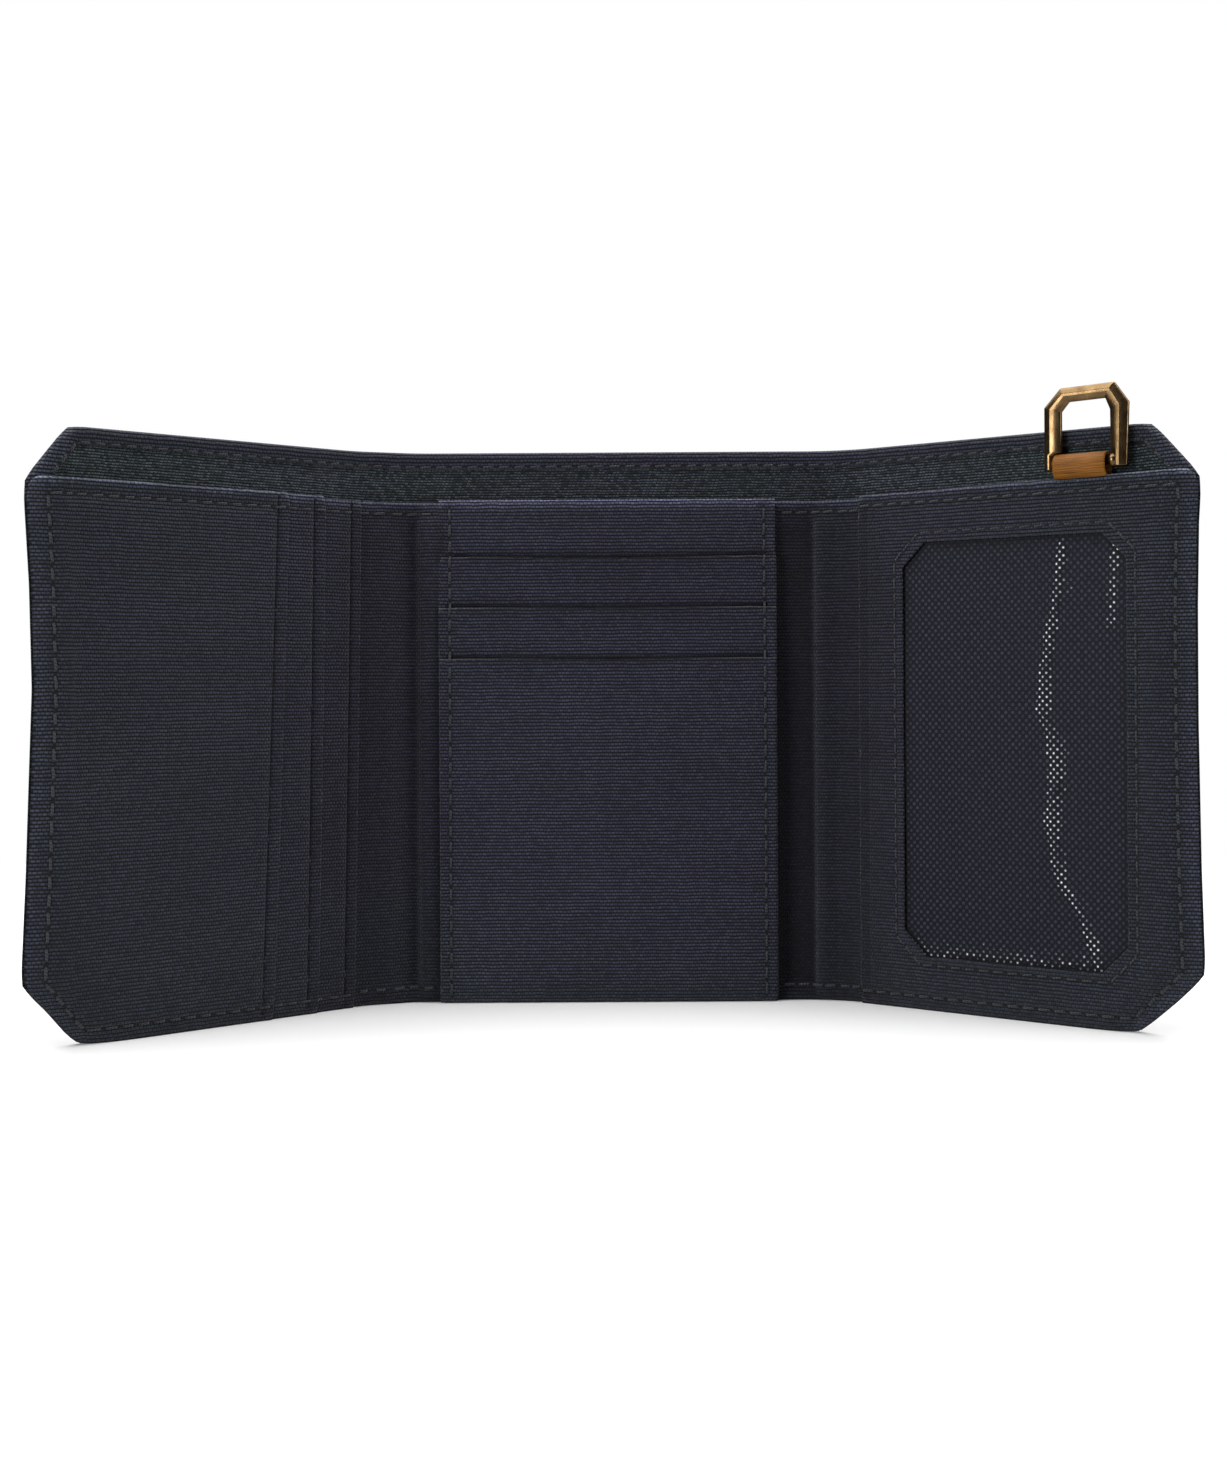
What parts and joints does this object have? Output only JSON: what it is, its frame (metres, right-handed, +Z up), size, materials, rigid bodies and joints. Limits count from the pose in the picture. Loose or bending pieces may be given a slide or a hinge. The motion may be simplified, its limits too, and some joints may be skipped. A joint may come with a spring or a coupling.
{
  "type": "trifold wallet",
  "caption": "Dark navy canvas trifold wallet, half open on its edge, with card slots, side pockets, a mesh ID window and a brass ring on a leather tab.",
  "frame": {"origin": "on the fold plane (the lining's inner face), at the middle of the centre panel's bottom edge", "axes": "+Z up the wallet's height, +X along the centre panel to the viewer's right when looking at the pockets, +Y towards the outside (back) of the wallet"},
  "size_m": [0.2054, 0.0549, 0.1153],
  "materials": {
    "canvas": "matt plain weave",
    "lining": "smooth twill with a soft sheen",
    "interfacing": "matt non-woven",
    "thread": "twisted polyester",
    "mesh": "glossy fine mesh",
    "leather": "smooth tan",
    "brass": "brushed antique"
  },
  "bodies": {
    "center": {"shell_center": "canvas", "interfacing_center": "interfacing", "lining_center": "lining", "hem_center": "canvas", "bill_wall_center": "canvas", "bottom_seam_center": "lining", "card_backing": "canvas", "card_slot_high": "canvas", "card_slot_middle": "canvas", "card_slot_low": "canvas", "stitching_center": "thread"},
    "left_spine": {"shell_left_spine": "canvas", "interfacing_left_spine": "interfacing", "lining_left_spine": "lining", "hem_left_spine": "canvas", "bill_wall_left_spine": "canvas", "bottom_seam_left_spine": "lining", "stitching_left_spine": "thread"},
    "left_wing": {"shell_left_wing": "canvas", "interfacing_left_wing": "interfacing", "lining_left_wing": "lining", "hem_left_wing": "canvas", "bill_wall_left_wing": "canvas", "bottom_seam_left_wing": "lining", "side_seam_left_wing": "lining", "side_pocket_rear": "canvas", "side_pocket_middle": "canvas", "side_pocket_front": "canvas", "stitching_left_wing": "thread"},
    "right_spine": {"shell_right_spine": "canvas", "interfacing_right_spine": "interfacing", "lining_right_spine": "lining", "hem_right_spine": "canvas", "bill_wall_right_spine": "canvas", "bottom_seam_right_spine": "lining", "stitching_right_spine": "thread"},
    "right_wing": {"shell_right_wing": "canvas", "interfacing_right_wing": "interfacing", "lining_right_wing": "lining", "hem_right_wing": "canvas", "bill_wall_right_wing": "canvas", "bottom_seam_right_wing": "lining", "side_seam_right_wing": "lining", "id_window_mesh": "mesh", "id_pocket_frame": "canvas", "stitching_right_wing": "thread", "ring_tab": "leather"},
    "ring": {"ring": "brass"}
  },
  "joints": [
    {"name": "left_fold", "type": "hinge", "parent": "center", "child": "left_spine", "pos_m": [-0.0374, 0, 0.054], "axis": [0, 0, 1], "range_deg": [-21, 69]},
    {"name": "left_wing_fold", "type": "hinge", "parent": "left_spine", "child": "left_wing", "pos_m": [-0.04907, -0.00448, 0.054], "axis": [0, 0, 1], "range_deg": [-21, 69]},
    {"name": "right_fold", "type": "hinge", "parent": "center", "child": "right_spine", "pos_m": [0.042, 0, 0.054], "axis": [0, 0, -1], "range_deg": [-19.25, 70.75]},
    {"name": "right_wing_fold", "type": "hinge", "parent": "right_spine", "child": "right_wing", "pos_m": [0.04899, -0.00244, 0.054], "axis": [0, 0, -1], "range_deg": [-19.25, 70.75]},
    {"name": "ring_pivot", "type": "hinge", "parent": "right_wing", "child": "ring", "pos_m": [0.08611, -0.03465, 0.1016], "axis": [0.7826, -0.6225, 0], "range_deg": [-2, 25]}
  ],
  "couplings": [
    {"joint": "left_wing_fold", "follows": "left_fold", "ratio": 1},
    {"joint": "right_wing_fold", "follows": "right_fold", "ratio": 1}
  ]
}
